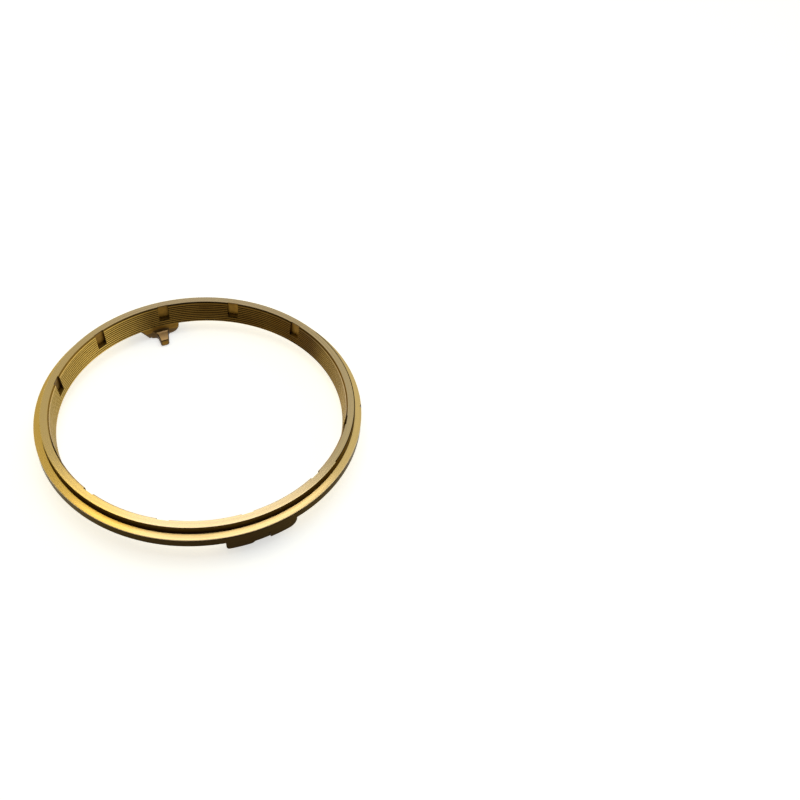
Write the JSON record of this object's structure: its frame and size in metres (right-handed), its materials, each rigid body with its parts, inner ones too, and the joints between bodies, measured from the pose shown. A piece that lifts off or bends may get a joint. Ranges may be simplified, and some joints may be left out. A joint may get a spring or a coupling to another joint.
{
  "type": "synchronizer ring",
  "caption": "Outer synchronizer ring of turned brass: flange, raised land, tapered friction bore with oil pockets, and lugs with inward fingers.",
  "frame": {"origin": "on the ring's axis, at the level of the lugs' feet that it rests on", "axes": "+Z along the ring's axis from the feet up to the land; X runs through the middles of the two lugs"},
  "size_m": [0.14, 0.14, 0.0173],
  "materials": {
    "brass": "turned, satin to polished"
  },
  "bodies": {
    "root": {"synchronizer_ring": "brass"}
  },
  "joints": []
}
